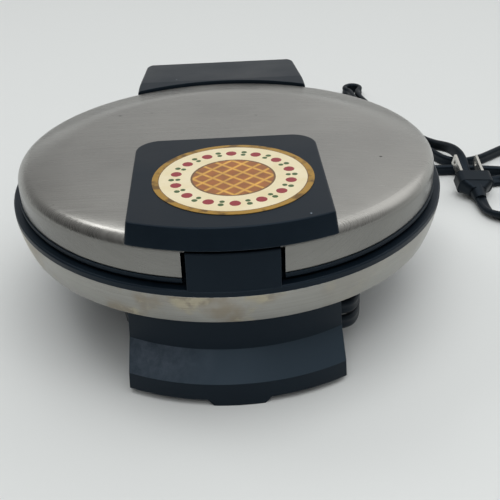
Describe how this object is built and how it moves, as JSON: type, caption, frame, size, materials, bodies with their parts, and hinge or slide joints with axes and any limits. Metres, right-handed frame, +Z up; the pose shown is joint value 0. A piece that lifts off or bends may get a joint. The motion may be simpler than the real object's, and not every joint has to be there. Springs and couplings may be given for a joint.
{
  "type": "waffle_maker",
  "caption": "Round countertop waffle maker with a steel banded base on two plastic stands, a tilted steel lid on a rear hinge and a bundled flat mains cord",
  "frame": {"origin": "bottom centre of the appliance without its free cord, on the worktop", "axes": "+Z up, the lid handle and knob point to -Y, the hinge is at +Y"},
  "size_m": [0.3235, 0.3396, 0.0853],
  "materials": {
    "black_plastic": "matte",
    "brushed_stainless": "satin",
    "coated_casting": "satin",
    "bright_steel": "gloss",
    "element_tube": "matte",
    "bare_aluminium": "satin",
    "ceramic_body": "matte",
    "wire_sleeve": "matte",
    "cord_jacket": "satin",
    "foot_rubber": "matte",
    "knob_plastic": "gloss",
    "red_lens": "gloss",
    "green_lens": "gloss",
    "printed_label": "satin"
  },
  "bodies": {
    "base": {"base_rim": "black_plastic", "base_band": "brushed_stainless", "base_pan": "black_plastic", "rear_stand": "black_plastic", "front_stand": "black_plastic", "rubber_feet": "foot_rubber", "lower_grid_plate": "coated_casting", "lower_heating_element": "element_tube", "heat_shield": "bare_aluminium", "plate_sensor": "bare_aluminium", "thermal_fuse": "bare_aluminium", "terminal_block": "ceramic_body", "element_wires": "wire_sleeve", "thermostat": "ceramic_body", "power_lens": "red_lens", "ready_lens": "green_lens", "lamp_holders": "black_plastic", "hinge_pin": "bright_steel", "stand_screws": "bright_steel", "cord_winding": "cord_jacket", "cord_lead": "cord_jacket", "cord_hank": "cord_jacket", "cord_tail": "cord_jacket", "strain_relief": "cord_jacket", "mains_plug": "cord_jacket", "plug_blades": "bright_steel"},
    "lid": {"lid_shell": "brushed_stainless", "lid_frame": "black_plastic", "upper_grid_plate": "coated_casting", "upper_heating_element": "element_tube", "hinge_arm": "bright_steel", "hinge_cover": "black_plastic", "label_disc": "printed_label", "lid_handle": "black_plastic", "handle_screws": "bright_steel", "cover_screws": "bright_steel"},
    "knob": {"control_knob": "knob_plastic"}
  },
  "joints": [
    {"name": "lid_hinge", "type": "hinge", "parent": "base", "child": "lid", "pos_m": [0, 0.11235, 0.069], "axis": [-1, 0, 0], "range_deg": [0, 95]},
    {"name": "knob_turn", "type": "hinge", "parent": "base", "child": "knob", "pos_m": [0, -0.07165, 0.0185], "axis": [0, -1, 0], "range_deg": [0, 240]}
  ]
}
